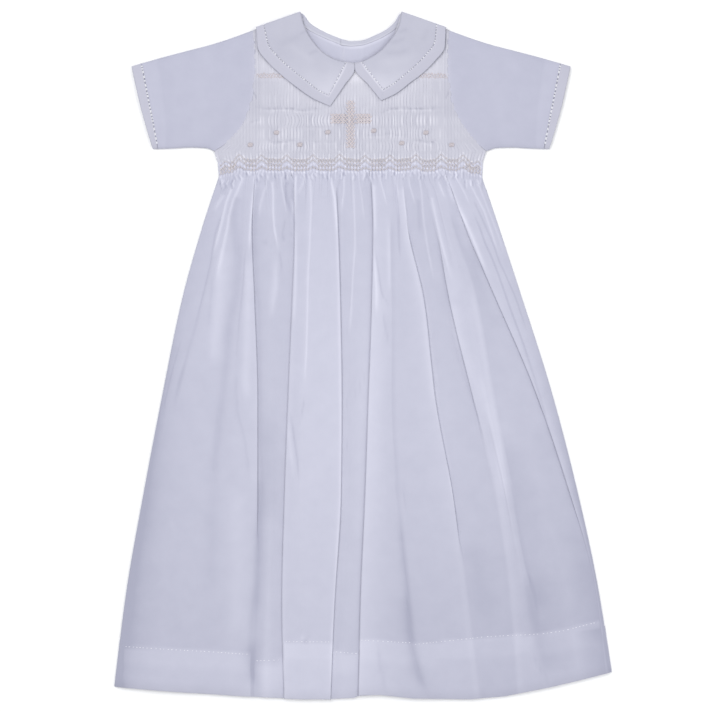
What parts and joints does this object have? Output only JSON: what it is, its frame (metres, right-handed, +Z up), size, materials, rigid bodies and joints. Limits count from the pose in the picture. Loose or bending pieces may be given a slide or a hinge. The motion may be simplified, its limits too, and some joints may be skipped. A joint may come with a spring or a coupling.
{
  "type": "christening gown",
  "caption": "Infant christening gown laid flat, front up: smocked chest, split pointed collar with mitred border, short hemstitched sleeves and a long gathered skirt.",
  "frame": {"origin": "centre of the bounding box on the surface that the gown lies on, under its back", "axes": "+X across the gown to the viewer's right as it is looked down on, +Y from the hem to the neck, +Z up from the surface through the front"},
  "size_m": [0.478, 0.6608, 0.0077],
  "materials": {
    "batiste": "fine plain-woven white cotton, slightly see-through, matt",
    "collar_batiste": "fine plain-woven white cotton, pressed, matt",
    "doubled_batiste": "two layers of white cotton with a hemstitched edge",
    "bias_binding": "folded bias strip of white cotton",
    "shell_button": "polished shell or resin"
  },
  "bodies": {
    "root": {"front": "batiste", "back_skirt": "batiste", "back_bodice_left": "batiste", "back_bodice_right": "batiste", "sleeve_left": "batiste", "sleeve_right": "batiste", "sleeve_band_left": "doubled_batiste", "sleeve_band_right": "doubled_batiste", "collar_left": "collar_batiste", "collar_right": "collar_batiste", "collar_border_left": "doubled_batiste", "collar_border_right": "doubled_batiste", "neck_binding_left": "bias_binding", "neck_binding_right": "bias_binding", "button_1": "shell_button", "button_2": "shell_button", "button_3": "shell_button"}
  },
  "joints": []
}
